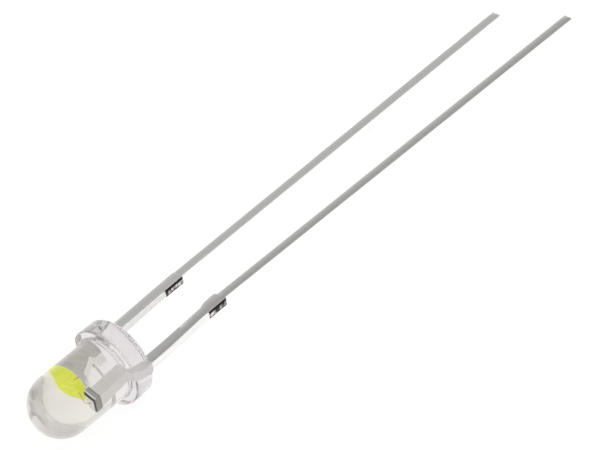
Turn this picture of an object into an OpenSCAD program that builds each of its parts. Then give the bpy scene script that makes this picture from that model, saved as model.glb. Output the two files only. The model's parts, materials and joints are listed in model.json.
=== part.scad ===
// Round clear light-emitting diode, 3 mm size, with two long wire leads.
//
// Every piece is drawn in the lamp's own upright frame and then laid down as a loose lamp comes to rest.
// Upright frame: the axis is Z, the dome points up, and z = 0 is the flange's rear face.
// The cathode is at -X, the anode at +X, and Y runs through the thickness of the stamped sheet.

/* [Epoxy body] */
// Diameter of the clear lens
lens_d = 3; // [2.9:0.05:3.2]
// Height of the whole casting, from the flange's rear face to the top of the dome
body_h = 5.3; // [5.2:0.05:5.8]
// Diameter of the flange
flange_d = 3.8; // [3.7:0.05:4.1]
// Thickness of the flange
flange_h = 1; // [0.9:0.05:1.1]
// Distance from the axis to the flat that marks the cathode's side of the flange
flat_x = 1.6; // [1.57:0.01:1.7]
// Rounding of the flange's two rims
rim_r = 0.1; // [0.04:0.01:0.15]
// Fillet where the lens meets the flange
neck_r = 0.12; // [0.05:0.01:0.18]
// How far the resin creeps along a lead where it leaves the casting
creep_h = 0.14; // [0.08:0.01:0.2]
// How far the resin spreads beside a lead there
creep_w = 0.08; // [0.04:0.01:0.1]
// Thickness of the resin's feathered edge at the end of its creep
creep_edge = 0.01; // [0.005:0.005:0.02]

/* [Leads] */
// Distance between the centres of the two leads
pitch = 2.54; // [2.5:0.01:2.58]
// Width of a lead
lead_w = 0.45; // [0.4:0.01:0.48]
// Thickness of the sheet that the leads are stamped from
sheet_t = 0.45; // [0.38:0.01:0.5]
// Length of the anode lead behind the flange
anode_len = 27.9; // [25:0.1:30]
// Length of the cathode lead behind the flange
cathode_len = 26.3; // [22:0.1:27.5]
// Width of a lead between the flange and its tie bar
root_w = 0.5; // [0.48:0.01:0.54]
// Height inside the flange at which the leads start to widen or narrow
shoulder_z = 0.6; // [0.5:0.05:0.7]
// Height at which they have become the anvil and the post
neck_z = 0.95; // [0.9:0.01:1.05]
// Distance from the flange to the sheared tie bar
tie_gap = 4; // [3:0.1:5]
// Length of the tie bar's stubs along the lead
tie_len = 1.17; // [0.8:0.01:1.4]
// How far a sheared stub stands proud of the lead
stub_proud = 0.04; // [0.02:0.005:0.08]
// How far the stub on the anode lead's inner side stands proud
inner_stub_proud = 0.14; // [0.02:0.01:0.2]
// Angle by which the anode lead is bent outwards past its tie bar
anode_splay = 0.7; // [0:0.1:1]
// How far the stamped frame sits off the lens's axis, towards the anode
frame_off_x = 0.03; // [0:0.01:0.04]
// How far the stamped frame sits off the lens's axis, through its thickness
frame_off_y = 0.15; // [0:0.01:0.16]

/* [Cathode anvil and cup] */
// Height of the reflector cup's rim
cup_z = 2.85; // [2.75:0.05:3.1]
// Distance of the cup's centre from the axis, towards the cathode
cup_off = 0.33; // [0.32:0.01:0.36]
// Outer diameter of the cup at its rim
cup_d = 1.5; // [1.44:0.02:1.5]
// Width of the flat land on the rim
rim_land = 0.1; // [0.1:0.01:0.13]
// Diameter of the cup's floor
floor_d = 0.66; // [0.55:0.01:0.75]
// Depth of the cup
cup_depth = 0.33; // [0.28:0.01:0.36]
// Height of the straight band under the rim
band_h = 0.1; // [0.06:0.01:0.14]
// Height of the upset head that carries the cup
head_h = 0.45; // [0.42:0.01:0.55]
// Diameter of the head at its foot
head_foot_d = 0.8; // [0.6:0.01:0.9]
// Distance from the axis to the anvil's outer edge
anvil_x = 1.1; // [1.08:0.01:1.2]
// Distance from the axis to the inner edge of the anvil's shank
shank_x = 0.25; // [0.2:0.01:0.32]
// Height at which the shank's inner edge steps back to the notch
shank_z = 1.4; // [1.3:0.01:1.45]
// Distance from the axis to the bottom of the notch
notch_x = 0.41; // [0.36:0.01:0.5]
// Height of the notch, from which the anvil is pressed thinner
notch_z = 1.52; // [1.5:0.01:1.7]
// Distance from the axis to the anvil's inner edge at the foot of the head
flag_x = 0.1; // [0.05:0.01:0.2]
// Thickness to which it is pressed there
pressed_t = 0.35; // [0.3:0.01:0.37]

/* [Anode post] */
// Height of the post's top
post_z = 3.2; // [3.1:0.05:3.4]
// Width of the upset head at the post's top
post_w = 0.7; // [0.6:0.01:0.7]
// Height of that head
post_head_h = 0.45; // [0.35:0.01:0.55]
// How far the head stands out on every side of the post
post_head_out = 0.05; // [0.03:0.01:0.08]
// Clearance between the post's head and the cup's rim
post_gap = 0.17; // [0.13:0.01:0.17]
// Distance from the axis to the post's inner edge at its foot
post_foot_x = 0.48; // [0.4:0.01:0.55]

/* [Chip, phosphor and wires] */
// Width of the square chip
chip_w = 0.3; // [0.24:0.01:0.36]
// Height of the chip
chip_h = 0.12; // [0.09:0.01:0.15]
// Thickness of the adhesive under the chip
glue_t = 0.03; // [0.02:0.005:0.04]
// How far the adhesive shows round the chip
glue_margin = 0.03; // [0.02:0.005:0.05]
// Height of the phosphor's crown above the rim
crown_h = 0.58; // [0.45:0.01:0.59]
// Diameter of a bond wire
wire_d = 0.03; // [0.02:0.005:0.04]
// Height of a wire's loop above the straight line between its ends
loop_h = 0.3; // [0.25:0.01:0.4]
// Diameter of the ball at a wire's start
ball_d = 0.08; // [0.06:0.005:0.09]
// Height of the ball and of the foot at a wire's end
bond_h = 0.03; // [0.03:0.005:0.04]
// Direction, seen from the dome, in which the cathode wire leaves for the rim
rim_bond_angle = 50; // [30:5:70]

/* [Hidden] */
$fn = 96;
lens_r = lens_d / 2;
flange_r = flange_d / 2;
dome_z = body_h - lens_r;
tie_end = tie_gap + tie_len;
anode_tip_x = pitch / 2 + (anode_len - tie_end) * tan(anode_splay);
floor_z = cup_z - cup_depth;
chip_z = floor_z + glue_t;
chip_top = chip_z + chip_h;
head_z = cup_z - head_h;
post_x = -cup_off + cup_d / 2 + post_gap;
pad_x = chip_w / 4;
wire_sides = 6;
wire_steps = 12;
cut = 0.01;

// Resting pose: the flange's rear rim and both lead tips touch the surface.
// The longer anode lifts its own side, so the lamp leans a little towards the cathode.
lean = (anode_len - cathode_len) / (anode_tip_x + pitch / 2);
dip_run = anode_len + rim_r - lean * (frame_off_x + anode_tip_x - lead_w / 2);
dip = atan((flange_r - sheet_t / 2 + frame_off_y) / dip_run);
roll = asin(lean * tan(dip));

module as_it_lies() {
    rotate([0, dip, 0]) rotate([90, 0, -90]) rotate([0, 0, roll]) children();
}

// The stamped frame, and all that it carries, sits a little off the lens's axis
module on_frame() {
    translate([frame_off_x, frame_off_y, 0]) children();
}

// What pressing takes off both faces of the sheet above a height
module pressed_off(z) {
    for (side = [-1, 1]) translate([0, side * (pressed_t + sheet_t) / 2, z + body_h / 2])
        cube([lens_d, sheet_t, body_h], center = true);
}

// Stamped work: an outline in the plane of the leads, given the thickness of the sheet
module stamped(outline) {
    rotate([90, 0, 0])
        linear_extrude(height = sheet_t, center = true) polygon(outline);
}

// Path of the lead's centre from the flange to its tip, as distances from the axis
function centre(side, splay, z) = side * (pitch / 2 + max(0, -z - tie_end) * tan(splay));

// One long edge of a lead behind the flange: edge is +1 for its outer side and -1 for its inner side
function lead_edge(side, edge, splay, len, proud) = [
    for (p = [[0, root_w / 2], [-tie_gap, root_w / 2],
              [-tie_gap, lead_w / 2 + proud], [-tie_end, lead_w / 2 + proud],
              [-tie_end, lead_w / 2], [-len, lead_w / 2]])
        [centre(side, splay, p[0]) + side * edge * p[1], p[0]]
];

function reversed(list) = [for (i = [len(list) - 1:-1:0]) list[i]];

module flange_outline() {
    difference() {
        union() {
            square([flange_r - rim_r, flange_h]);
            translate([0, rim_r]) square([flange_r, flange_h - 2 * rim_r]);
            for (z = [rim_r, flange_h - rim_r]) translate([flange_r - rim_r, z]) circle(r = rim_r);
            translate([0, flange_h - cut]) square([lens_r + neck_r, neck_r + cut]);
        }
        translate([lens_r + neck_r, flange_h + neck_r]) circle(r = neck_r);
    }
}

module lens_outline() {
    translate([0, flange_h]) square([lens_r, dome_z - flange_h]);
    translate([0, dome_z]) intersection() {
        circle(r = lens_r);
        square(lens_r);
    }
}

module casting() {
    difference() {
        rotate_extrude() {
            flange_outline();
            lens_outline();
        }
        translate([-flat_x - flange_d, -flange_r, -cut]) cube([flange_d, flange_d, flange_h + cut]);
    }
    on_frame() for (side = [-1, 1]) translate([side * pitch / 2, 0, 0]) creep_collar();
}

// The resin's skirt round a lead, four sloping sides
module creep_collar() {
    foot = [root_w / 2 + creep_w, sheet_t / 2 + creep_w];
    tip = [root_w / 2 + creep_edge, sheet_t / 2 + creep_edge];
    hull() {
        linear_extrude(height = cut) square(2 * foot, center = true);
        translate([0, 0, -creep_h]) linear_extrude(height = cut) square(2 * tip, center = true);
    }
}

module cup_cavity() {
    mouth_r = cup_d / 2 - rim_land;
    translate([-cup_off, 0, 0]) rotate_extrude()
        polygon([[0, floor_z], [floor_d / 2, floor_z], [mouth_r, cup_z],
                 [mouth_r, cup_z + cut], [0, cup_z + cut]]);
}

module cup_head() {
    r = cup_d / 2;
    translate([-cup_off, 0, 0]) rotate_extrude()
        polygon([[0, head_z], [head_foot_d / 2, head_z], [r, cup_z - band_h], [r, cup_z], [0, cup_z]]);
}

module cathode_shape() {
    inside = [[-shank_x, neck_z], [-shank_x, shank_z], [-notch_x, notch_z],
              [-flag_x, head_z], [-flag_x, head_z + cut],
              [-cup_off, cup_z - band_h], [-anvil_x, cup_z - band_h], [-anvil_x, neck_z]];
    difference() {
        union() {
            difference() {
                stamped(concat([[-pitch / 2 - root_w / 2, shoulder_z]],
                               lead_edge(-1, 1, 0, cathode_len, stub_proud),
                               reversed(lead_edge(-1, -1, 0, cathode_len, stub_proud)),
                               [[-pitch / 2 + root_w / 2, shoulder_z]], inside));
                pressed_off(notch_z);
            }
            cup_head();
        }
        cup_cavity();
    }
}

module anode_shape() {
    under_z = post_z - post_head_h;
    inside = [[anvil_x, neck_z], [post_x + post_w - post_head_out, under_z + cut],
              [post_x + post_head_out, under_z + cut], [post_foot_x, neck_z]];
    stamped(concat([[pitch / 2 - root_w / 2, shoulder_z]],
                   lead_edge(1, -1, anode_splay, anode_len, inner_stub_proud),
                   reversed(lead_edge(1, 1, anode_splay, anode_len, stub_proud)),
                   [[pitch / 2 + root_w / 2, shoulder_z]], inside));
    translate([post_x, -sheet_t / 2 - post_head_out, under_z])
        cube([post_w, sheet_t + 2 * post_head_out, post_head_h]);
}

module chip_shape() {
    translate([-cup_off, 0, chip_z + chip_h / 2]) cube([chip_w, chip_w, chip_h], center = true);
}

module adhesive_shape() {
    side = chip_w + 2 * glue_margin;
    translate([-cup_off, 0, floor_z + glue_t / 2]) cube([side, side, glue_t], center = true);
}

// A wire between two points, looping upwards: a swept polygon with a ball at its start and a foot at its end
module bond_wire(from, to) {
    reach = norm([to[0] - from[0], to[1] - from[1]]);
    turn = atan2(to[1] - from[1], to[0] - from[0]);
    rise = to[2] - from[2];
    path = [for (i = [0:wire_steps]) let (t = i / wire_steps)
        [reach * t, bond_h / 2 + rise * t + loop_h * (1 - pow(2 * t - 1, 4))]];
    slope = [for (i = [0:wire_steps]) let (a = path[max(i - 1, 0)], b = path[min(i + 1, wire_steps)])
        atan2(b[1] - a[1], b[0] - a[0])];
    rings = [for (i = [0:wire_steps]) for (j = [0:wire_sides - 1]) let (a = 360 * j / wire_sides)
        [path[i][0] - sin(slope[i]) * cos(a) * wire_d / 2, sin(a) * wire_d / 2,
         path[i][1] + cos(slope[i]) * cos(a) * wire_d / 2]];
    sides = [for (i = [0:wire_steps - 1]) for (j = [0:wire_sides - 1]) let (k = (j + 1) % wire_sides)
        each [[i * wire_sides + j, (i + 1) * wire_sides + j, (i + 1) * wire_sides + k],
              [i * wire_sides + j, (i + 1) * wire_sides + k, i * wire_sides + k]]];
    ends = [[for (j = [0:wire_sides - 1]) j],
            [for (j = [wire_sides - 1:-1:0]) wire_steps * wire_sides + j]];
    translate(from) rotate([0, 0, turn]) {
        polyhedron(points = rings, faces = concat(sides, ends));
        cylinder(d = ball_d, h = bond_h);
        translate([reach, 0, rise]) cylinder(d = ball_d, h = bond_h);
    }
}

module anode_wire_shape() {
    bond_wire([-cup_off + pad_x, 0, chip_top], [post_x + post_w / 2, 0, post_z]);
}

module cathode_wire_shape() {
    land_r = cup_d / 2 - rim_land / 2;
    bond_wire([-cup_off - pad_x, 0, chip_top],
              [-cup_off + land_r * cos(rim_bond_angle), land_r * sin(rim_bond_angle), cup_z]);
}

// What fills the cup: its cavity and a high crown over the rim
module cup_filling() {
    mouth_r = cup_d / 2 - rim_land;
    crown_r = (mouth_r * mouth_r + crown_h * crown_h) / (2 * crown_h);
    translate([-cup_off, 0, 0]) rotate_extrude() {
        polygon([[0, floor_z], [floor_d / 2, floor_z], [mouth_r, cup_z], [0, cup_z]]);
        intersection() {
            translate([0, cup_z + crown_h - crown_r]) circle(r = crown_r, $fn = 360);
            translate([0, cup_z]) square([mouth_r, crown_h + cut]);
        }
    }
}

module phosphor_shape() {
    difference() {
        cup_filling();
        chip_shape();
        adhesive_shape();
        anode_wire_shape();
        cathode_wire_shape();
    }
}

module epoxy_body() {
    color("lightcyan", 0.35) as_it_lies() difference() {
        casting();
        on_frame() {
            cathode_shape();
            anode_shape();
            cup_filling();
            anode_wire_shape();
            cathode_wire_shape();
        }
    }
}

module cathode_lead() {
    color("silver") as_it_lies() on_frame() cathode_shape();
}

module anode_lead() {
    color("silver") as_it_lies() on_frame() anode_shape();
}

module led_chip() {
    color("lightblue") as_it_lies() on_frame() chip_shape();
}

module chip_adhesive() {
    color("whitesmoke") as_it_lies() on_frame() adhesive_shape();
}

module phosphor_fill() {
    color("gold") as_it_lies() on_frame() phosphor_shape();
}

module anode_bond_wire() {
    color("goldenrod") as_it_lies() on_frame() anode_wire_shape();
}

module cathode_bond_wire() {
    color("goldenrod") as_it_lies() on_frame() cathode_wire_shape();
}

epoxy_body();
cathode_lead();
anode_lead();
led_chip();
chip_adhesive();
phosphor_fill();
anode_bond_wire();
cathode_bond_wire();
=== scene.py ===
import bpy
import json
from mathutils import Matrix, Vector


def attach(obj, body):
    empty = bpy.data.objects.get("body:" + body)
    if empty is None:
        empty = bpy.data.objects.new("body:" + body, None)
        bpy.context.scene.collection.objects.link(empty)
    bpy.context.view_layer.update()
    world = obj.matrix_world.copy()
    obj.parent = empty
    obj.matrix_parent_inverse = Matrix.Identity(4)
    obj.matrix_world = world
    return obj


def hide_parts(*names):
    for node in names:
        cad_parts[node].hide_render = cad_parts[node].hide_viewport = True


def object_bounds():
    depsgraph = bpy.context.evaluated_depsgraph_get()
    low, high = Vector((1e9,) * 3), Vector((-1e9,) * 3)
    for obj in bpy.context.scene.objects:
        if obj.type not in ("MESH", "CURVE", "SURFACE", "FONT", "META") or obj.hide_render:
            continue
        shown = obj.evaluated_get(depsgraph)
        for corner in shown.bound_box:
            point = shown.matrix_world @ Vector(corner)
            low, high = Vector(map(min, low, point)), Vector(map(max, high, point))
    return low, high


bl_info = {
    "name": "Through hole LED",
    "version": (1, 0, 0),
    "blender": (4, 5, 0),
    "location": "3D View > Sidebar > LED",
    "description": "Dresses a clear 3 mm light-emitting diode with resin, leads, phosphor and wires",
    "category": "Object",
}

import json
import math

import bmesh
import bpy
from bpy.props import FloatProperty, FloatVectorProperty, IntProperty, PointerProperty
from mathutils import Matrix, Vector

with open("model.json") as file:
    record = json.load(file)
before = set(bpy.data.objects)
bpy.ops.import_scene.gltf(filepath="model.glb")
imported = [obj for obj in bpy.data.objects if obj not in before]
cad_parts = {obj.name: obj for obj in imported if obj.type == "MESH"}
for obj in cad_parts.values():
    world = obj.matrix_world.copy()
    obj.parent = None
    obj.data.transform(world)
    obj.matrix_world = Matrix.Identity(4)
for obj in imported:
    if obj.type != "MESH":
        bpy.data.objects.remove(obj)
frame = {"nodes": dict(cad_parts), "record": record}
CAD_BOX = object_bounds()

MM = 0.001
BODY = "root"

# Corners nearer than this are one
MERGE = 0.0000002

# Turned forms keep a crease where their faces meet at more than this angle
CREASE = math.radians(30)

# The lamp's upright frame, from the mounts: the seat's axis looks down the leads,
# and the two pins stand side by side across the lamp.
MOUNTS = {m["name"]: m for m in frame["record"]["mounts"]}
UP_LAMP = -Vector(MOUNTS["board_seat"]["axis"])
ACROSS = (Vector(MOUNTS["anode_pin"]["pos_m"]) - Vector(MOUNTS["cathode_pin"]["pos_m"])).normalized()
THROUGH = UP_LAMP.cross(ACROSS)
LAY = Matrix((ACROSS, THROUGH, UP_LAMP)).transposed()
UPRIGHT = LAY.inverted()


def upright_points(node):
    """The corners of a CAD node, stood upright with the dome on top."""
    return [UPRIGHT @ v.co for v in frame["nodes"][node].data.vertices]


def reach(point):
    """How far a point lies from the lamp's axis."""
    return math.hypot(point.x, point.y)


def middle(points):
    """The centre of the box round some points."""
    low = Vector([min(p[i] for p in points) for i in range(3)])
    high = Vector([max(p[i] for p in points) for i in range(3)])
    return (low + high) / 2


# Sizes that the CAD parts give, all in the upright frame
CASTING = upright_points("epoxy_body")
CATHODE = upright_points("cathode_lead")
ANODE = upright_points("anode_lead")
FILLING = upright_points("phosphor_fill")
LENS_R = MOUNTS["lens_barrel"]["dims"]["r_mm"] * MM
FLANGE_R = max(reach(p) for p in CASTING)
BODY_H = max(p.z for p in CASTING)
FLANGE_H = max(p.z for p in CASTING if reach(p) > (LENS_R + FLANGE_R) / 2)
FLAT_X = -min(p.x for p in CASTING if p.z < FLANGE_H / 2)
DOME_Z = BODY_H - LENS_R
CREEP_H = -min(p.z for p in CASTING)

# Only the tie bar's stubs have corners at this stretch of a lead, measured back from the seat
STUB_NEAR = 2 * MM
STUB_FAR = 8 * MM
TIE_CORNERS = [p for p in ANODE if STUB_NEAR < -p.z < STUB_FAR]
TIE_GAP = -max(p.z for p in TIE_CORNERS)
TIE_END = -min(p.z for p in TIE_CORNERS)
SHEET_Y = middle(TIE_CORNERS).y
SHEET_T = 2 * (max(p.y for p in TIE_CORNERS) - SHEET_Y)

# The reflector cup and what fills it
CUP_Z = max(p.z for p in CATHODE)
CUP_FLOOR = min(p.z for p in FILLING)
CUP_MOUTH = [p for p in FILLING if abs(p.z - CUP_Z) < MERGE]
CUP_AXIS = middle(CUP_MOUTH)
MOUTH_R = max(p.x for p in CUP_MOUTH) - CUP_AXIS.x
CROWN_Z = max(p.z for p in FILLING)

# What all lengths and all colours among the properties share
LENGTH = {"subtype": "DISTANCE", "unit": "LENGTH"}
COLOUR = {"subtype": "COLOR", "size": 3, "min": 0, "max": 1}


class LedSizes(bpy.types.PropertyGroup):
    """Small forms that finish the lamp's pieces."""
    rim_r: FloatProperty(
        name="Rim rounding", description="Rounding of the flange's rims",
        default=0.1 * MM, min=0.02 * MM, max=0.2 * MM, **LENGTH)
    neck_r: FloatProperty(
        name="Neck fillet", description="Fillet where the lens meets the flange",
        default=0.12 * MM, min=0.02 * MM, max=0.2 * MM, **LENGTH)
    segments: IntProperty(
        name="Segments", description="Segments round the turned forms",
        default=192, min=24, max=256)
    lead_edge: FloatProperty(
        name="Lead edge", description="Rounding of the stamped edges of the leads",
        default=0.05 * MM, min=0.005 * MM, max=0.1 * MM, **LENGTH)
    # The head's edge is bevelled and painted dark as painted shade
    head_edge: FloatProperty(
        name="Head edge", description="Worn edge round the top of the post's head",
        default=0.08 * MM, min=0.005 * MM, max=0.08 * MM, **LENGTH)
    shoulder: FloatProperty(
        name="Stub shoulder", description="Length of the slope at the start of a tie bar's inner stub",
        default=0.4 * MM, min=0.0, max=0.5 * MM, **LENGTH)
    anode_kink: FloatProperty(
        name="Anode kink", description="How far the anode lead stands out where it leaves the casting",
        default=0.22 * MM, min=0.0, max=0.3 * MM, **LENGTH)
    cathode_kink: FloatProperty(
        name="Cathode kink", description="How far the cathode lead stands in where it leaves the casting",
        default=0.1 * MM, min=0.0, max=0.3 * MM, **LENGTH)
    head_swell: FloatProperty(
        name="Head swell", description="How far the post's head was driven out by the punch",
        default=0.1 * MM, min=0.0, max=0.12 * MM, **LENGTH)
    creep_w: FloatProperty(
        name="Creep width", description="How far the resin spreads beside a lead as it leaves the casting",
        default=0.08 * MM, min=0.02 * MM, max=0.1 * MM, **LENGTH)
    wire_r: FloatProperty(
        name="Wire radius", description="Radius of a bond wire",
        default=0.015 * MM, min=0.01 * MM, max=0.02 * MM, **LENGTH)
    loop_h: FloatProperty(
        name="Loop height", description="Height of a wire's loop above the straight line between its ends",
        default=0.3 * MM, min=0.2 * MM, max=0.4 * MM, **LENGTH)
    ball_r: FloatProperty(
        name="Ball radius", description="Radius of the ball and the foot that end a wire",
        default=0.04 * MM, min=0.03 * MM, max=0.045 * MM, **LENGTH)
    bond_h: FloatProperty(
        name="Bond height", description="Height of the ball and the foot",
        default=0.03 * MM, min=0.02 * MM, max=0.04 * MM, **LENGTH)


class LedColours(bpy.types.PropertyGroup):
    """Base colours of the finishes."""
    resin: FloatVectorProperty(
        name="Resin", description="Tint of the clear resin in the flange",
        default=(0.79, 0.755, 0.775), **COLOUR)
    resin_deep: FloatVectorProperty(
        name="Deep resin", description="Tint of the clear resin in the dome",
        default=(0.755, 0.73, 0.66), **COLOUR)
    tin: FloatVectorProperty(
        name="Tin", description="Tin plate on the leads",
        default=(0.96, 0.955, 0.95), **COLOUR)
    tin_mark: FloatVectorProperty(
        name="Draw marks", description="Tin plate in its draw marks",
        default=(0.84, 0.84, 0.83), **COLOUR)
    silver: FloatVectorProperty(
        name="Silver", description="Silver plate inside the casting",
        default=(0.97, 0.97, 0.96), **COLOUR)
    silver_mark: FloatVectorProperty(
        name="Silver marks", description="Silver plate in its draw marks",
        default=(0.9, 0.9, 0.89), **COLOUR)
    # The dull colour serves both the dull sheared sides of the roots and painted shade on the leads' upper
    # faces and the post's head
    dull_and_shade: FloatVectorProperty(
        name="Dull metal", description="Plate that the stamping tool rubbed",
        default=(0.55, 0.54, 0.51), **COLOUR)
    # The torn colour also paints dark shade on the post's head
    torn: FloatVectorProperty(
        name="Torn metal", description="Dark metal where the shears went through",
        default=(0.012, 0.011, 0.01), **COLOUR)
    torn_light: FloatVectorProperty(
        name="Burnished metal", description="Lighter streaks in the torn metal",
        default=(0.78, 0.73, 0.72), **COLOUR)
    phosphor: FloatVectorProperty(
        name="Phosphor", description="Phosphor in its silicone",
        default=(0.76, 0.83, 0.04), **COLOUR)
    phosphor_deep: FloatVectorProperty(
        name="Deep phosphor", description="Phosphor between its grains",
        default=(0.62, 0.7, 0.02), **COLOUR)
    gold: FloatVectorProperty(
        name="Gold", description="Gold of the bond wires",
        default=(0.78, 0.6, 0.26), **COLOUR)
    gold_deep: FloatVectorProperty(
        name="Deep gold", description="Gold in the marks of its die",
        default=(0.5, 0.36, 0.14), **COLOUR)
    chip: FloatVectorProperty(
        name="Chip", description="Sapphire of the chip",
        default=(0.5, 0.6, 0.66), **COLOUR)
    chip_deep: FloatVectorProperty(
        name="Deep chip", description="Darker grain of the chip",
        default=(0.3, 0.4, 0.5), **COLOUR)
    adhesive: FloatVectorProperty(
        name="Adhesive", description="Cured adhesive under the chip",
        default=(0.85, 0.85, 0.82), **COLOUR)
    adhesive_deep: FloatVectorProperty(
        name="Deep adhesive", description="Darker grain of the adhesive",
        default=(0.7, 0.7, 0.66), **COLOUR)
    floor: FloatVectorProperty(
        name="Floor", description="Pale floor under the lamp",
        default=(0.36, 0.36, 0.36), **COLOUR)


class LedGlow(bpy.types.PropertyGroup):
    """Faint glow for the light that goes round inside the resin and that a render gives up."""
    silver: FloatProperty(
        name="Silver glow", description="Emission of the silver plate",
        default=0.16, min=0.0, max=1.0, subtype="FACTOR")
    phosphor: FloatProperty(
        name="Phosphor glow", description="Emission of the phosphor",
        default=0.43, min=0.0, max=1.0, subtype="FACTOR")


class LedView(bpy.types.PropertyGroup):
    """Where the photograph was taken from."""
    azimuth: FloatProperty(
        name="Azimuth", description="Bearing of the camera, 0 looks along +Y",
        default=math.radians(-41.5508), subtype="ANGLE", unit="ROTATION")
    elevation: FloatProperty(
        name="Elevation", description="Height of the camera above the horizon",
        default=math.radians(43.9286), subtype="ANGLE", unit="ROTATION")
    roll: FloatProperty(
        name="Roll", description="Turn of the camera about its own line of sight",
        default=math.radians(-10.5251), subtype="ANGLE", unit="ROTATION")
    distance: FloatProperty(
        name="Distance", description="Distance from the camera to the point it looks at",
        default=578.3 * MM, min=100 * MM, **LENGTH)
    lens: FloatProperty(
        name="Lens", description="Focal length of the camera in millimetres",
        default=800, min=50, max=1200)
    target: FloatVectorProperty(
        name="Target", description="Point in the middle of the picture",
        default=(11.077 * MM, -0.485 * MM, -1.012 * MM), size=3, subtype="TRANSLATION", unit="LENGTH")


# Shared making

def eased(t):
    """A smooth step from 0 to 1."""
    t = min(1.0, max(0.0, t))
    return t * t * (3 - 2 * t)


def kink(size, z):
    """How far a lead stands aside at a height: most where it leaves the casting, fading both ways."""
    return size * (eased(1 - z / FLANGE_H) if z > 0 else eased(1 + z / (TIE_END - CREEP_H)))


def piece_object(name, mesh):
    """Links a new object at the origin."""
    thing = bpy.data.objects.new(name, mesh)
    bpy.context.scene.collection.objects.link(thing)
    return thing


def lay_down(mesh):
    """Turns a mesh that was made upright into the pose in which the lamp lies."""
    mesh.transform(LAY.to_4x4())
    mesh.update()


def baked(thing, name):
    """The evaluated mesh of an object as a plain piece, and the object itself is removed."""
    depsgraph = bpy.context.evaluated_depsgraph_get()
    mesh = bpy.data.meshes.new_from_object(thing.evaluated_get(depsgraph))
    mesh.name = name
    bpy.data.objects.remove(thing)
    return piece_object(name, mesh)


def hand_over(piece, node):
    """The piece rides on the lamp's one body and stands for a CAD node."""
    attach(piece, BODY)
    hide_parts(node)


def arc(centre_r, centre_z, radius, start, end, steps):
    """Points on an arc in a turned profile, angles in degrees from straight outwards."""
    points = []
    for i in range(steps + 1):
        angle = math.radians(start + (end - start) * i / steps)
        points.append((centre_r + radius * math.cos(angle), centre_z + radius * math.sin(angle)))
    return points


def profile_object(name, points):
    """A row of corners in the XZ plane, kept as the points of a mesh."""
    mesh = bpy.data.meshes.new(name)
    mesh.from_pydata([(r, 0, z) for r, z in points], [], [])
    return piece_object(name, mesh)


# Geometry Nodes

def new_tree(name, inputs):
    """A geometry tree with a Geometry input and output and the named inputs."""
    tree = bpy.data.node_groups.new(name, "GeometryNodeTree")
    tree.interface.new_socket("Geometry", in_out="INPUT", socket_type="NodeSocketGeometry")
    for label, kind in inputs:
        tree.interface.new_socket(label, in_out="INPUT", socket_type=kind)
    tree.interface.new_socket("Geometry", in_out="OUTPUT", socket_type="NodeSocketGeometry")
    return tree


def add_node(tree, kind, values=None, links=None, **settings):
    """Adds a node with its settings, socket values and incoming links."""
    node = tree.nodes.new(kind)
    for key, value in settings.items():
        setattr(node, key, value)
    for key, value in (values or {}).items():
        node.inputs[key].default_value = value
    for key, source in (links or {}).items():
        tree.links.new(source, node.inputs[key])
    return node


def integer(tree, operation, a, b):
    """Whole number maths on two outputs."""
    node = add_node(tree, "FunctionNodeIntegerMath", operation=operation, links={0: a, 1: b})
    return node.outputs[0]


def maths(tree, operation, a, b=None):
    """Maths on outputs or plain numbers."""
    node = tree.nodes.new("ShaderNodeMath")
    node.operation = operation
    for index, value in enumerate((a, b)):
        if isinstance(value, bpy.types.NodeSocket):
            tree.links.new(value, node.inputs[index])
        elif value is not None:
            node.inputs[index].default_value = value
    return node.outputs[0]


def vector_maths(tree, operation, a, b):
    """Vector maths on outputs or plain vectors."""
    node = tree.nodes.new("ShaderNodeVectorMath")
    node.operation = operation
    for index, value in enumerate((a, b)):
        if isinstance(value, bpy.types.NodeSocket):
            tree.links.new(value, node.inputs[index])
        else:
            node.inputs[index].default_value = value
    return node.outputs[0]


def finish_tree(tree, geometry, material):
    """Realize Instances and Set Material end every tree."""
    real = add_node(tree, "GeometryNodeRealizeInstances", links={0: geometry})
    dressed = add_node(
        tree, "GeometryNodeSetMaterial", links={"Geometry": real.outputs[0], "Material": material})
    out = tree.nodes.new("NodeGroupOutput")
    tree.links.new(dressed.outputs[0], out.inputs[0])


def turned_tree():
    """Turns the points of a profile round the Z axis."""
    tree = new_tree("Turned form", [
        ("Points", "NodeSocketInt"), ("Segments", "NodeSocketInt"),
        ("Merge", "NodeSocketFloat"), ("Material", "NodeSocketMaterial")])
    given = tree.nodes.new("NodeGroupInput")
    points, segments = given.outputs["Points"], given.outputs["Segments"]
    one_more = add_node(tree, "FunctionNodeIntegerMath", {1: 1}, {0: segments}, operation="ADD")
    grid = add_node(
        tree, "GeometryNodeMeshGrid", links={"Vertices X": one_more.outputs[0], "Vertices Y": points})
    index = tree.nodes.new("GeometryNodeInputIndex")
    row = integer(tree, "MODULO", index.outputs[0], points)
    column = integer(tree, "DIVIDE_FLOOR", index.outputs[0], points)
    corner = tree.nodes.new("GeometryNodeInputPosition")
    sample = add_node(
        tree, "GeometryNodeSampleIndex", data_type="FLOAT_VECTOR", domain="POINT",
        links={"Geometry": given.outputs["Geometry"], "Value": corner.outputs[0], "Index": row})
    turn = maths(tree, "MULTIPLY", maths(tree, "DIVIDE", column, segments), math.tau)
    rotated = add_node(
        tree, "ShaderNodeVectorRotate", rotation_type="Z_AXIS",
        links={"Vector": sample.outputs[0], "Angle": turn})
    placed = add_node(
        tree, "GeometryNodeSetPosition",
        links={"Geometry": grid.outputs["Mesh"], "Position": rotated.outputs[0]})
    closed = add_node(
        tree, "GeometryNodeMergeByDistance",
        links={"Geometry": placed.outputs[0], "Distance": given.outputs["Merge"]})
    finish_tree(tree, closed.outputs[0], given.outputs["Material"])
    return tree


# Rings along a wire, corners round it, and how square its loop is: 2 is a parabola
WIRE_RINGS = 48
WIRE_SIDES = 12
LOOP_POWER = 4.0


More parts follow.
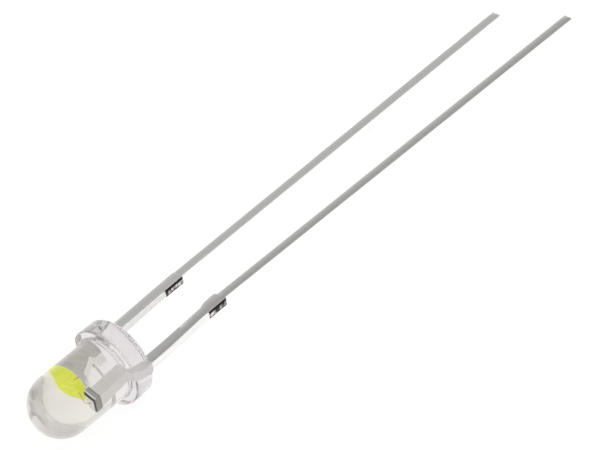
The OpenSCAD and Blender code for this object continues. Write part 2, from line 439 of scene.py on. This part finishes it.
def wire_tree():
    """A wire looped between two points, with a ball on the first and a foot on the second."""
    tree = new_tree("Looped wire", [
        ("Start", "NodeSocketVector"), ("End", "NodeSocketVector"), ("Loop", "NodeSocketFloat"),
        ("Radius", "NodeSocketFloat"), ("Ball radius", "NodeSocketFloat"),
        ("Ball height", "NodeSocketFloat"), ("Material", "NodeSocketMaterial")])
    given = tree.nodes.new("NodeGroupInput").outputs
    line = add_node(
        tree, "GeometryNodeCurvePrimitiveLine", links={"Start": given["Start"], "End": given["End"]})
    path = add_node(
        tree, "GeometryNodeResampleCurve", {"Count": WIRE_RINGS}, {"Curve": line.outputs[0]})
    along = tree.nodes.new("GeometryNodeSplineParameter").outputs["Factor"]
    swing = maths(tree, "SUBTRACT", maths(tree, "MULTIPLY", along, 2.0), 1.0)
    steep = maths(tree, "POWER", maths(tree, "ABSOLUTE", swing), LOOP_POWER)
    fall = maths(tree, "SUBTRACT", 1.0, steep)
    half = maths(tree, "MULTIPLY", given["Ball height"], 0.5)
    rise = maths(tree, "ADD", maths(tree, "MULTIPLY", fall, given["Loop"]), half)
    lift = add_node(tree, "ShaderNodeCombineXYZ", links={"Z": rise})
    looped = add_node(
        tree, "GeometryNodeSetPosition", links={"Geometry": path.outputs[0], "Offset": lift.outputs[0]})
    section = add_node(
        tree, "GeometryNodeCurvePrimitiveCircle", {"Resolution": WIRE_SIDES}, {"Radius": given["Radius"]})
    wire = add_node(
        tree, "GeometryNodeCurveToMesh", {"Fill Caps": True},
        {"Curve": looped.outputs[0], "Profile Curve": section.outputs[0]})
    ball = add_node(
        tree, "GeometryNodeMeshUVSphere", {"Segments": 2 * WIRE_SIDES, "Rings": WIRE_SIDES, "Radius": 1.0})
    wide = given["Ball radius"]
    size = add_node(tree, "ShaderNodeCombineXYZ", links={"X": wide, "Y": wide, "Z": half})
    up = add_node(tree, "ShaderNodeCombineXYZ", links={"Z": half})
    together = tree.nodes.new("GeometryNodeJoinGeometry")
    tree.links.new(wire.outputs[0], together.inputs[0])
    for end in ("Start", "End"):
        placed = add_node(
            tree, "GeometryNodeTransform",
            links={"Geometry": ball.outputs[0], "Scale": size.outputs[0],
                   "Translation": vector_maths(tree, "ADD", given[end], up.outputs[0])})
        tree.links.new(placed.outputs[0], together.inputs[0])
    finish_tree(tree, together.outputs[0], given["Material"])
    return tree


def grown(base, name, tree, inputs):
    """Runs a geometry tree on an object and returns the result as a plain piece."""
    modifier = base.modifiers.new(name, "NODES")
    modifier.node_group = tree
    for item in tree.interface.items_tree:
        if item.in_out == "INPUT" and item.name in inputs:
            modifier[item.identifier] = inputs[item.name]
    piece = baked(base, name)
    piece.data.materials.clear()
    piece.data.materials.append(inputs["Material"])
    piece.data.polygons.foreach_set("material_index", [0] * len(piece.data.polygons))
    return piece


def turned(name, points, segments, material):
    """A closed turned form from its profile, which starts and ends on the axis."""
    base = profile_object(name + " profile", points)
    return grown(base, name, bpy.data.node_groups.get("Turned form") or turned_tree(), {
        "Points": len(points), "Segments": segments, "Merge": MERGE, "Material": material})


# Materials

def principled(name, **values):
    """A new material with its Principled BSDF's own sockets set."""
    material = bpy.data.materials.new(name)
    material.use_nodes = True
    shader = material.node_tree.nodes["Principled BSDF"]
    for key, value in values.items():
        shader.inputs[key.replace("_", " ")].default_value = value
    return material, material.node_tree, shader


def effect_group(name, inputs, outputs):
    """A shader group with float inputs (name, default) and outputs (name, kind)."""
    tree = bpy.data.node_groups.new(name, "ShaderNodeTree")
    for label, value in inputs:
        socket = tree.interface.new_socket(label, in_out="INPUT", socket_type="NodeSocketFloat")
        socket.default_value = value
    for label, kind in outputs:
        tree.interface.new_socket(label, in_out="OUTPUT", socket_type=kind)
    return tree, tree.nodes.new("NodeGroupInput").outputs, tree.nodes.new("NodeGroupOutput").inputs


def upright_coordinates(tree, stretch=(1, 1, 1)):
    """Object coordinates in millimetres, turned into the lamp's upright frame."""
    place = tree.nodes.new("ShaderNodeTexCoord")
    turn = add_node(
        tree, "ShaderNodeMapping", {"Rotation": UPRIGHT.to_euler()}, {"Vector": place.outputs["Object"]},
        vector_type="POINT")
    scale = Vector(stretch) / MM
    return vector_maths(tree, "MULTIPLY", turn.outputs["Vector"], tuple(scale))


def marks_group(name, scale, detail, roughness, stretch, depth):
    """Noise in the upright frame: a mask and the normal of its relief, with its depth in mm."""
    tree, given, out = effect_group(
        name, [("Scale", scale), ("Relief", 0.1)],
        [("Mask", "NodeSocketFloat"), ("Normal", "NodeSocketVector")])
    noise = add_node(
        tree, "ShaderNodeTexNoise", {"Detail": detail, "Roughness": roughness},
        {"Vector": upright_coordinates(tree, stretch), "Scale": given["Scale"]})
    bump = add_node(
        tree, "ShaderNodeBump", {"Distance": depth * MM},
        {"Height": noise.outputs[0], "Strength": given["Relief"]})
    tree.links.new(noise.outputs[0], out["Mask"])
    tree.links.new(bump.outputs[0], out["Normal"])
    return tree


def grain_group(name):
    """Even fine mottling."""
    return marks_group(name, 10.0, detail=3.0, roughness=0.6, stretch=(1, 1, 1), depth=0.02)


def drawn_group(name):
    """Marks drawn out along the leads."""
    return marks_group(name, 14.0, detail=4.0, roughness=0.7, stretch=(1, 1, 0.06), depth=0.01)


def tear_group(name):
    """A sheared face: 0 where it is dark, at both faces of the sheet, and 1 on its burnished stripes."""
    tree, given, out = effect_group(
        name, [("Scale", 3.0), ("Middle", 0.0), ("Half", 1.0)], [("Mask", "NodeSocketFloat")])
    noise = add_node(
        tree, "ShaderNodeTexNoise", {"Detail": 3.0, "Roughness": 0.65},
        {"Vector": upright_coordinates(tree, (1, 0.5, 1.6)), "Scale": given["Scale"]})
    place = add_node(tree, "ShaderNodeSeparateXYZ", links={0: upright_coordinates(tree)}).outputs
    through = maths(tree, "DIVIDE", maths(tree, "SUBTRACT", place["Y"], given["Middle"]), given["Half"])
    # 1 is the sheet's upper face here and -1 its lower one
    front = spread(tree, through, 0.05, 0.3, to_low=1.0, to_high=0.0)
    back = spread(tree, through, -0.75, -0.45, to_low=0.2, to_high=1.0)
    stripes = spread(tree, noise.outputs[0], 0.45, 0.58, to_low=0.05, to_high=1.0)
    outside = spread(tree, place["Z"], -0.1, 0.1, to_low=1.0, to_high=0.0)
    core = maths(tree, "MULTIPLY", maths(tree, "MULTIPLY", front, back), outside)
    tree.links.new(maths(tree, "MULTIPLY", core, stripes), out["Mask"])
    return tree


EFFECTS = {"Fine grain": grain_group, "Draw marks": drawn_group, "Tear": tear_group}


def effect(tree, name, values):
    """Puts a shared effect, which is built once, into a material and returns its outputs."""
    group = bpy.data.node_groups.get(name) or EFFECTS[name](name)
    return add_node(tree, "ShaderNodeGroup", values, node_tree=group).outputs


def blend(tree, mask, first, second):
    """Mixes two colours, or colour outputs, by a mask."""
    node = tree.nodes.new("ShaderNodeMix")
    node.data_type = "RGBA"
    for index, value in ((0, mask), (6, first), (7, second)):
        if isinstance(value, bpy.types.NodeSocket):
            tree.links.new(value, node.inputs[index])
        else:
            node.inputs[index].default_value = value if index == 0 else (*value, 1)
    return node.outputs[2]


def spread(tree, value, low, high, to_low=0.0, to_high=1.0):
    """Maps a range of a value onto another range, held at its ends."""
    node = add_node(
        tree, "ShaderNodeMapRange", {"From Min": low, "From Max": high, "To Min": to_low, "To Max": to_high},
        {"Value": value})
    return node.outputs[0]


def resin_material():
    """Clear casting resin, a little yellower up in the dome, in soft clouds."""
    colours = bpy.context.scene.led_colours
    material, tree, shader = principled("clear_resin", IOR=1.53, Transmission_Weight=0.92)
    height = add_node(tree, "ShaderNodeSeparateXYZ", links={0: upright_coordinates(tree)}).outputs["Z"]
    # The tint changes between these heights in mm above the seat
    climb = spread(tree, height, 0.6, 2.2)
    cloud = effect(tree, "Fine grain", {"Scale": 0.9, "Relief": 0.0})["Mask"]
    clouds = spread(tree, cloud, 0.4, 0.6, to_low=0.6, to_high=1.0)
    tint = blend(tree, maths(tree, "MULTIPLY", climb, clouds), colours.resin, colours.resin_deep)
    tree.links.new(tint, shader.inputs["Base Color"])
    grain = effect(tree, "Fine grain", {"Scale": 1.3, "Relief": 0.06})
    tree.links.new(grain["Normal"], shader.inputs["Normal"])
    polish = spread(tree, grain["Mask"], 0.3, 0.7, to_low=0.01, to_high=0.05)
    tree.links.new(polish, shader.inputs["Roughness"])
    return material


def metal_material(name, bright, marked, metallic, roughness, glow):
    """Plated strip with draw marks, darker where the dull value is, for dull plate and painted shade, and
    torn where the worn value is, which also paints shade on the post's head.
    """
    colours = bpy.context.scene.led_colours
    material, tree, shader = principled(name, Metallic=metallic)
    shader.inputs["Emission Strength"].default_value = glow
    drawn = effect(tree, "Draw marks", {"Scale": 14.0, "Relief": 0.12})
    torn_and_shade = add_node(tree, "ShaderNodeAttribute", attribute_name="torn_and_shade").outputs["Fac"]
    dull_and_shade = add_node(tree, "ShaderNodeAttribute", attribute_name="dull_and_shade").outputs["Fac"]
    plate = blend(tree, spread(tree, drawn["Mask"], 0.35, 0.7), bright, marked)
    pits = effect(tree, "Fine grain", {"Scale": 5.0, "Relief": 0.0})["Mask"]
    pitted = spread(tree, pits, 0.4, 0.6, to_low=0.75, to_high=1.0)
    # The dull value darkens the plate: dull sheared sides, and painted shade on upper faces, the outer edge
    # and the post's head
    plate = blend(tree, maths(tree, "MULTIPLY", dull_and_shade, pitted), plate, colours.dull_and_shade)
    tear = effect(tree, "Tear", {"Scale": 3.2, "Middle": SHEET_Y / MM, "Half": SHEET_T / MM / 2})
    torn = blend(tree, tear["Mask"], colours.torn, colours.torn_light)
    # The worn value gives torn metal and painted shade on the post's head
    finish = blend(tree, torn_and_shade, plate, torn)
    tree.links.new(finish, shader.inputs["Base Color"])
    tree.links.new(finish, shader.inputs["Emission Color"])
    satin = spread(tree, drawn["Mask"], 0.3, 0.7, to_low=roughness * 0.7, to_high=roughness * 1.3)
    # Torn metal, and the painted shade on the post's head, is rougher than the plate
    rough = maths(tree, "MAXIMUM", satin, maths(tree, "MULTIPLY", torn_and_shade, 0.5))
    tree.links.new(rough, shader.inputs["Roughness"])
    tree.links.new(drawn["Normal"], shader.inputs["Normal"])
    return material


def grained_material(name, light, dark, roughness, scale, relief, metallic=0.0):
    """A finish of one colour that a fine grain breaks up."""
    material, tree, shader = principled(name, Roughness=roughness, Metallic=metallic)
    grain = effect(tree, "Fine grain", {"Scale": scale, "Relief": relief})
    colour = blend(tree, spread(tree, grain["Mask"], 0.35, 0.65), dark, light)
    tree.links.new(colour, shader.inputs["Base Color"])
    tree.links.new(grain["Normal"], shader.inputs["Normal"])
    return material


# Operators

class LED_OT_casting(bpy.types.Operator):
    """Turn the clear casting: flange, neck, lens and dome, with the cathode's flat"""
    bl_idname = "led.casting"
    bl_label = "Clear casting"

    # Steps of the rounded rims, of the dome and of a collar's corners and height
    RIM_STEPS = 8
    DOME_STEPS = 48
    CORNER_STEPS = 4
    COLLAR_STEPS = 8

    # How near a lead's corners lie to the height at which its root is measured
    NEAR = 0.04 * MM

    # Thickness of a collar's feather edge
    FEATHER = 0.01 * MM

    def execute(self, context):
        sizes = context.scene.led_sizes
        rim, neck = sizes.rim_r, sizes.neck_r
        points = [(0, 0), (FLANGE_R - 2 * rim, 0)]
        points += arc(FLANGE_R - rim, rim, rim, -90, 0, self.RIM_STEPS)
        points += arc(FLANGE_R - rim, FLANGE_H - rim, rim, 0, 90, self.RIM_STEPS)
        points += arc(LENS_R + neck, FLANGE_H + neck, neck, 270, 180, self.RIM_STEPS)
        points += [(LENS_R, FLANGE_H + 2 * neck)]
        points += arc(0, DOME_Z, LENS_R, 0, 90, self.DOME_STEPS)[:-1] + [(0, BODY_H)]
        piece = turned("clear_casting", points, sizes.segments, resin_material())
        self.cut_flat(piece.data)
        piece = self.add_collars(piece, sizes)
        piece.data.shade_smooth()
        piece.data.set_sharp_from_angle(angle=CREASE)
        lay_down(piece.data)
        hand_over(piece, "epoxy_body")
        return {"FINISHED"}

    def cut_flat(self, mesh):
        """The flat that marks the cathode's side of the flange."""
        work = bmesh.new()
        work.from_mesh(mesh)
        everything = work.verts[:] + work.edges[:] + work.faces[:]
        cut = bmesh.ops.bisect_plane(
            work, geom=everything, plane_co=(-FLAT_X, 0, 0), plane_no=(-1, 0, 0), clear_outer=True)
        rim = [e for e in cut["geom_cut"] if isinstance(e, bmesh.types.BMEdge)]
        bmesh.ops.holes_fill(work, edges=rim)
        bmesh.ops.recalc_face_normals(work, faces=work.faces)
        work.to_mesh(mesh)
        work.free()

    def add_collars(self, piece, sizes):
        """The resin's skirt round each lead, which thins out to a feather edge."""
        corners, faces = [], []
        for lead, aside in ((CATHODE, sizes.cathode_kink), (ANODE, sizes.anode_kink)):
            root = [p for p in lead if abs(p.z + TIE_GAP) < self.NEAR]
            core = middle(root)
            half = (max(p.x for p in root) - core.x, max(p.y for p in root) - core.y)
            core.x += aside
            self.collar(corners, faces, core, half, sizes.creep_w)
        mesh = bpy.data.meshes.new("collars")
        mesh.from_pydata(corners, [], faces)
        collars = piece_object("collars", mesh)
        joint = piece.modifiers.new("collars", "BOOLEAN")
        joint.operation = "UNION"
        joint.solver = "EXACT"
        joint.object = collars
        whole = baked(piece, "clear_casting")
        bpy.data.objects.remove(collars)
        return whole

    def collar(self, corners, faces, core, half, width):
        """Rings round one lead from just inside the casting down to the feather edge."""
        steps = self.COLLAR_STEPS
        inside = FLANGE_H * 0.05
        levels = [inside] + [-CREEP_H * i / steps for i in range(steps + 1)]
        for level in levels:
            t = max(0.0, -level / CREEP_H)
            out = self.FEATHER + (width - self.FEATHER) * (1 - t) ** 2
            first = len(corners)
            for quarter, (sx, sy) in enumerate(((1, 1), (-1, 1), (-1, -1), (1, -1))):
                for i in range(self.CORNER_STEPS + 1):
                    angle = math.radians(90 * quarter + 90 * i / self.CORNER_STEPS)
                    corners.append((
                        core.x + sx * half[0] + out * math.cos(angle),
                        core.y + sy * half[1] + out * math.sin(angle), level))
            ring = len(corners) - first
            if level == inside:
                faces.append(list(range(first, first + ring)))
            else:
                for i in range(ring):
                    j = (i + 1) % ring
                    faces.append((first - ring + i, first - ring + j, first + j, first + i)[::-1])
        faces.append(list(range(first, first + ring))[::-1])


class LED_OT_leads(bpy.types.Operator):
    """Round the edges of the two stamped leads and plate them, tin outside and silver inside"""
    bl_idname = "led.leads"
    bl_label = "Stamped leads"

    # Painted shade on a lead's upper faces inside the casting, and how dull its sheared sides are behind it
    SHADE_AND_DULL = {"cathode_lead": (1.0, 0.65), "anode_lead": (0.25, 0.3)}

    # Painted shade on the anode lead's upper face along its outer edge, outside the casting
    OUTER_SHADE = 0.75

    # Faces that meet at less than the first angle are one, and at more than the second have an edge
    SAME = math.radians(1)
    SHARP = math.radians(40)

    # How far a face's normal reaches along an axis: square to it, on the upper side that takes
    # painted shade, on a sheared side, and just turned outwards
    SQUARE = 0.9
    SHADED_SIDE = 0.3
    SIDE = 0.5
    OUTWARD = 0.1

    # Length of a shoulder's slope at the far end of a stub, against the one at its start
    SHORT_SLOPE = 0.25

    # Rings of edges along a lead, which let it bend and keep its shading even
    RINGS = 110

    # Bands of painted shade down the sides of the post's head: depth of the lower end in mm, how dark (worn)
    # and how dull; the first band stays bright on the upper side and the last is bright, both painted
    # highlights
    HEAD_BANDS = ((0.16, 0.3, 1.0), (0.35, 0.3, 1.0), (0.41, 0.6, 1.0), (0.45, 0.0, 0.0))

    # Shares of the head's swell towards the inner side and up, against one outwards and down
    SWELL_IN = 0.4
    SWELL_UP = 0.3

    def execute(self, context):
        sizes = context.scene.led_sizes
        colours = context.scene.led_colours
        tin = metal_material(
            "tinned_strip", colours.tin, colours.tin_mark, metallic=1.0, roughness=0.28, glow=0.0)
        silver = metal_material(
            "silver_plate", colours.silver, colours.silver_mark, metallic=0.0, roughness=0.3,
            glow=context.scene.led_glow.silver)
        for node, aside in (("cathode_lead", sizes.cathode_kink), ("anode_lead", sizes.anode_kink)):
            mesh = frame["nodes"][node].data.copy()
            mesh.transform(UPRIGHT.to_4x4())
            mesh.materials.clear()
            mesh.materials.append(tin)
            mesh.materials.append(silver)
            self.soften(mesh, sizes, node)
            for v in mesh.vertices:
                v.co.x += kink(aside, v.co.z)
            mesh.shade_smooth()
            mesh.set_sharp_from_angle(angle=self.SHARP)
            lay_down(mesh)
            piece = piece_object("stamped_" + node, mesh)
            hand_over(piece, node)
        return {"FINISHED"}

    def soften(self, mesh, sizes, node):
        """Rounds a lead's stamped edges and marks what is torn, dull or silvered, and where shade and
        highlights are painted.
        """
        work = bmesh.new()
        work.from_mesh(mesh)
        bmesh.ops.remove_doubles(work, verts=work.verts, dist=MERGE)
        bmesh.ops.dissolve_limit(work, angle_limit=self.SAME, verts=work.verts, edges=work.edges)
        torn_and_shade = work.faces.layers.float.new("torn_and_shade")
        self.slope_shoulders(work, sizes.shoulder)
        # The forms inside the lens keep their edges as they are
        sharp = [e for e in work.edges
                 if len(e.link_faces) == 2 and e.calc_face_angle() > self.SHARP
                 and all(v.co.z < FLANGE_H * 0.9 for v in e.verts)]
        bmesh.ops.bevel(
            work, geom=sharp, offset=sizes.lead_edge, segments=3, profile=0.5, affect="EDGES",
            clamp_overlap=False)
        for face in work.faces:
            face[torn_and_shade] = self.is_torn(face)
        dull_and_shade = work.loops.layers.float.new("dull_and_shade")
        tip = min(v.co.z for v in work.verts) + sizes.lead_edge
        for i in range(self.RINGS):
            self.split(work, FLANGE_H + (tip - FLANGE_H) * i / self.RINGS)
        self.split(work, 0)
        for face in work.faces:
            self.shade_face(face, dull_and_shade, *self.SHADE_AND_DULL[node])
        if node == "anode_lead":
            self.swell_and_shade_head(work, torn_and_shade, dull_and_shade, sizes)
            self.shade_outer_edge(work, dull_and_shade)
        work.to_mesh(mesh)
        work.free()
        # The frame's own corner normals don't fit the new corners
        if "custom_normal" in mesh.attributes:
            mesh.attributes.remove(mesh.attributes["custom_normal"])

    def slope_shoulders(self, work, length):
        """A tie bar's stub, on its lead's cathode side, starts in a long slope and ends in a short one."""
        stub = [v for v in work.verts if -TIE_END - MERGE < v.co.z < -TIE_GAP + MERGE]
        side = min(v.co.x for v in stub)
        for v in stub:
            if v.co.x < side + MERGE:
                start = v.co.z > -(TIE_GAP + TIE_END) / 2
                v.co.z += -length if start else length * self.SHORT_SLOPE

    def is_torn(self, face):
        """1 for a face left by the shears: beside the tie bar or at the tip."""
        place = face.calc_center_median()
        beside = abs(face.normal.x) > self.SQUARE and -TIE_END < place.z < -TIE_GAP
        tip = face.normal.z < -self.SQUARE and place.z < -2 * TIE_END
        return 1.0 if beside or tip else 0.0

    def split(self, work, level):
        """A ring of edges round the lead at a height."""
        everything = work.verts[:] + work.edges[:] + work.faces[:]
        bmesh.ops.bisect_plane(work, geom=everything, plane_co=(0, 0, level), plane_no=(0, 0, 1))

    def shade_face(self, face, dull_and_shade, upper_shade, sheared):
        """Silver inside the casting, with painted shade on the upper faces inside it, and duller on the
        root's sheared sides.
        """
        height = face.calc_center_median().z
        face.material_index = 1 if height > 0 else 0
        shade = 0.0
        # Upper faces inside the casting take painted shade
        if height > 0 and face.normal.y > self.SHADED_SIDE:
            shade = upper_shade
        elif -TIE_GAP < height < 0 and abs(face.normal.x) > self.SIDE:
            shade = sheared
        for loop in face.loops:
            loop[dull_and_shade] = shade

    def shade_outer_edge(self, work, dull_and_shade):
        """Painted shade on the lead's upper face outside the casting, towards its outer edge."""
        for face in work.faces:
            if face.normal.y > self.SQUARE and face.material_index == 0:
                for loop in face.loops:
                    outer = any(f.normal.x > self.OUTWARD for f in loop.vert.link_faces)
                    loop[dull_and_shade] = self.OUTER_SHADE if outer else 0.0

    def swell_and_shade_head(self, work, torn_and_shade, dull_and_shade, sizes):
        """The upset head of the post, with painted shade in bands down its sides and on the rim round its
        top, and painted highlights on its uppermost band and on the step at its foot.
        """
        top = max(v.co.z for v in work.verts)
        foot = top - self.HEAD_BANDS[-1][0] * MM
        head = [v for v in work.verts if v.co.z > foot - MERGE]
        core = middle([v.co for v in head if v.co.z > top - MERGE])
        for v in head:
            v.co.x += sizes.head_swell * (1 if v.co.x > core.x else -self.SWELL_IN)
            v.co.y += sizes.head_swell * (self.SWELL_UP if v.co.y > core.y else -1)
        for depth, _, _ in self.HEAD_BANDS[:-1]:
            self.split(work, top - depth * MM)
        for face in work.faces:
            self.shade_band(face, top, torn_and_shade, dull_and_shade)
        rim = [e for e in work.edges if all(v.co.z > top - MERGE for v in e.verts)]
        cut = bmesh.ops.bevel(
            work, geom=rim, offset=sizes.head_edge, segments=1, affect="EDGES", clamp_overlap=False)
        # The bevelled rim round the top is painted dark as painted shade
        for face in cut["faces"]:
            face[torn_and_shade] = 1.0

    def shade_band(self, face, top, torn_and_shade, dull_and_shade):
        """Painted shade of a face on the head, as worn and dull values, with its uppermost band left bright
        on the upper side as a painted highlight.
        """
        depth = top - face.calc_center_median().z
        upper = face.normal.y > self.SQUARE
        for end, painted_dark, shade in self.HEAD_BANDS:
            if MERGE < depth < end * MM:
                # The uppermost band on the upper side is left bright as a painted highlight
                bright = upper and end == self.HEAD_BANDS[0][0]
                face[torn_and_shade] = 0.0 if bright else painted_dark
                for loop in face.loops:
                    loop[dull_and_shade] = 0.0 if bright else shade
                return


class LED_OT_phosphor(bpy.types.Operator):
    """Turn the phosphor that fills the cup and stands over its rim"""
    bl_idname = "led.phosphor"
    bl_label = "Phosphor"

    # Steps of the crown's arc
    CROWN_STEPS = 32

    def execute(self, context):
        colours = context.scene.led_colours
        rise = CROWN_Z - CUP_Z
        bow = (MOUTH_R ** 2 + rise ** 2) / (2 * rise)
        start = math.degrees(math.asin((CUP_Z - CROWN_Z + bow) / bow))
        floor_r = max(p.x for p in FILLING if p.z < CUP_FLOOR + MERGE) - CUP_AXIS.x
        points = [(0, CUP_FLOOR), (floor_r, CUP_FLOOR)]
        points += arc(0, CROWN_Z - bow, bow, start, 90, self.CROWN_STEPS)[:-1] + [(0, CROWN_Z)]
        silicone = grained_material(
            "phosphor_silicone", colours.phosphor, colours.phosphor_deep,
            roughness=0.5, scale=9.0, relief=0.5)
        shader = silicone.node_tree.nodes["Principled BSDF"]
        shader.inputs["Emission Color"].default_value = (*colours.phosphor, 1)
        shader.inputs["Emission Strength"].default_value = context.scene.led_glow.phosphor
        piece = turned("phosphor_crown", points, context.scene.led_sizes.segments, silicone)
        piece.data.transform(Matrix.Translation((CUP_AXIS.x, CUP_AXIS.y, 0)))
        piece.data.shade_smooth()
        piece.data.set_sharp_from_angle(angle=CREASE)
        lay_down(piece.data)
        hand_over(piece, "phosphor_fill")
        return {"FINISHED"}


class LED_OT_chip(bpy.types.Operator):
    """Finish the chip and its adhesive"""
    bl_idname = "led.chip"
    bl_label = "Chip and adhesive"

    def execute(self, context):
        colours = context.scene.led_colours
        finishes = {
            "led_chip": grained_material(
                "sapphire_chip", colours.chip, colours.chip_deep,
                roughness=0.1, scale=12.0, relief=0.05),
            "chip_adhesive": grained_material(
                "die_adhesive", colours.adhesive, colours.adhesive_deep,
                roughness=0.3, scale=16.0, relief=0.3),
        }
        for node, material in finishes.items():
            mesh = frame["nodes"][node].data
            mesh.materials.clear()
            mesh.materials.append(material)
        return {"FINISHED"}


class LED_OT_wires(bpy.types.Operator):
    """Loop the two gold wires from the chip to the post and to the cup's rim"""
    bl_idname = "led.wires"
    bl_label = "Bond wires"

    # How far from the wire's farthest corner its foot begins
    FOOT = 0.07 * MM

    def execute(self, context):
        sizes = context.scene.led_sizes
        colours = context.scene.led_colours
        gold = grained_material(
            "gold_wire", colours.gold, colours.gold_deep,
            roughness=0.25, scale=30.0, relief=0.1, metallic=1.0)
        tree = wire_tree()
        for node in ("anode_bond_wire", "cathode_bond_wire"):
            start, end = self.ends(node)
            base = profile_object(node + " seed", [(0, 0)])
            piece = grown(base, "looped_" + node, tree, {
                "Start": start, "End": end, "Loop": sizes.loop_h, "Radius": sizes.wire_r,
                "Ball radius": sizes.ball_r, "Ball height": sizes.bond_h, "Material": gold})
            piece.data.shade_smooth()
            lay_down(piece.data)
            hand_over(piece, node)
        return {"FINISHED"}

    def ends(self, node):
        """Where the CAD wire's ball and foot stand, the ball on the chip."""
        points = upright_points(node)
        low = min(p.z for p in points)
        start = middle([p for p in points if p.z < low + MERGE])
        far = max((p - start).xy.length for p in points)
        foot = [p for p in points if (p - start).xy.length > far - self.FOOT]
        level = min(p.z for p in foot)
        return start, middle([p for p in foot if abs(p.z - level) < MERGE])


class LED_OT_stage(bpy.types.Operator):
    """Set the white floor, the soft lights and the camera"""
    bl_idname = "led.stage"
    bl_label = "Floor, lights and camera"

    # Half the width of the floor in metres
    FLOOR_HALF = 1.5

    # Brightness of the white tent by the sine of the height above the horizon
    TENT = ((0.0, 1.0), (0.2, 0.85), (0.42, 0.5), (0.62, 0.42), (0.78, 0.5), (0.98, 0.6))

    # How white the floor shows to each kind of ray, on top of what light falls on it
    FLOOR_GLOW = {"Is Camera Ray": 0.8, "Is Glossy Ray": 0.92, "Is Transmission Ray": 0.74}

    def execute(self, context):
        self.floor(context)
        self.sky(context)
        self.lamp("top softbox", direction=(-0.1, -0.2, 1), distance=0.6, width=0.5, watts=0.7)
        self.camera(context)
        context.scene.view_settings.view_transform = "Standard"
        return {"FINISHED"}

    def floor(self, context):
        """A pale floor under the lowest point, which takes the shadow and shows white."""
        half, low = self.FLOOR_HALF, CAD_BOX[0].z
        corners = [(x * half, y * half, low) for x, y in ((-1, -1), (1, -1), (1, 1), (-1, 1))]
        mesh = bpy.data.meshes.new("floor")
        mesh.from_pydata(corners, [], [(0, 1, 2, 3)])
        ground = piece_object("floor", mesh)
        material, tree, shader = principled(
            "pale_floor", Base_Color=(*context.scene.led_colours.floor, 1), Roughness=0.9)
        shader.inputs["Specular IOR Level"].default_value = 0.0
        shader.inputs["Emission Color"].default_value = (1, 1, 1, 1)
        light = tree.nodes.new("ShaderNodeLightPath").outputs
        glow = 0.0
        for kind, strength in self.FLOOR_GLOW.items():
            glow = maths(tree, "MAXIMUM", glow, maths(tree, "MULTIPLY", light[kind], strength))
        tree.links.new(glow, shader.inputs["Emission Strength"])
        mesh.materials.append(material)

    def sky(self, context):
        """A white tent that lights the lamp, plain white where it is seen directly or through resin."""
        world = bpy.data.worlds.new("studio")
        context.scene.world = world
        world.use_nodes = True
        tree = world.node_tree
        background = tree.nodes["Background"]
        background.inputs["Color"].default_value = (1, 1, 1, 1)
        place = tree.nodes.new("ShaderNodeTexCoord")
        height = add_node(tree, "ShaderNodeSeparateXYZ", links={0: place.outputs["Generated"]}).outputs["Z"]
        tent = tree.nodes.new("ShaderNodeValToRGB")
        tree.links.new(height, tent.inputs["Fac"])
        ramp = tent.color_ramp
        for sine, level in self.TENT:
            stop = ramp.elements.new(sine)
            stop.color = (level, level, level, 1)
        ramp.elements.remove(ramp.elements[0])
        light = tree.nodes.new("ShaderNodeLightPath")
        seen = maths(tree, "MAXIMUM", light.outputs["Is Camera Ray"], light.outputs["Is Transmission Ray"])
        strength = maths(tree, "MAXIMUM", tent.outputs["Color"], seen)
        tree.links.new(strength, background.inputs["Strength"])

    def lamp(self, name, direction, distance, width, watts):
        """A round soft light that shines on the origin and isn't mirrored by the metal."""
        data = bpy.data.lights.new(name, "AREA")
        data.shape = "DISK"
        data.size = width
        data.energy = watts
        thing = bpy.data.objects.new(name, data)
        bpy.context.scene.collection.objects.link(thing)
        thing.visible_glossy = False
        thing.location = Vector(direction).normalized() * distance
        thing.rotation_euler = (-Vector(direction)).to_track_quat("-Z", "Y").to_euler()

    def camera(self, context):
        """The camera on the photograph's line of sight."""
        view = context.scene.led_view
        back = Vector((
            math.sin(view.azimuth) * math.cos(view.elevation),
            -math.cos(view.azimuth) * math.cos(view.elevation),
            math.sin(view.elevation)))
        data = bpy.data.cameras.new("camera")
        data.lens = view.lens
        data.clip_start = 0.01
        camera = bpy.data.objects.new("camera", data)
        context.scene.collection.objects.link(camera)
        camera.location = Vector(view.target) + back * view.distance
        level = (-back).to_track_quat("-Z", "Y").to_matrix()
        camera.rotation_euler = (level @ Matrix.Rotation(view.roll, 3, "Z")).to_euler()
        context.scene.camera = camera


class LED_PT_sidebar(bpy.types.Panel):
    """Lists the steps that dress the lamp"""
    bl_idname = "LED_PT_sidebar"
    bl_label = "Through hole LED"
    bl_space_type = "VIEW_3D"
    bl_region_type = "UI"
    bl_category = "LED"

    def draw(self, context):
        for name, group in GROUPS.items():
            box = self.layout.box()
            for field in group.__annotations__:
                box.prop(getattr(context.scene, name), field)
        for step in STEPS:
            self.layout.operator(step.bl_idname)


STEPS = (LED_OT_casting, LED_OT_leads, LED_OT_phosphor, LED_OT_chip, LED_OT_wires, LED_OT_stage)
GROUPS = {"led_sizes": LedSizes, "led_colours": LedColours, "led_glow": LedGlow, "led_view": LedView}


def register():
    """Registers the groups of values, the steps and the panel."""
    for group in GROUPS.values():
        bpy.utils.register_class(group)
    for name, group in GROUPS.items():
        setattr(bpy.types.Scene, name, PointerProperty(type=group))
    for step in (*STEPS, LED_PT_sidebar):
        bpy.utils.register_class(step)


def unregister():
    """Takes back what register added."""
    for step in reversed((*STEPS, LED_PT_sidebar)):
        bpy.utils.unregister_class(step)
    for name in GROUPS:
        delattr(bpy.types.Scene, name)
    for group in GROUPS.values():
        bpy.utils.unregister_class(group)


def main():
    """Dresses the frame step by step."""
    register()
    bpy.ops.led.casting()
    bpy.ops.led.leads()
    bpy.ops.led.phosphor()
    bpy.ops.led.chip()
    bpy.ops.led.wires()
    bpy.ops.led.stage()


if __name__ == "__main__":
    main()
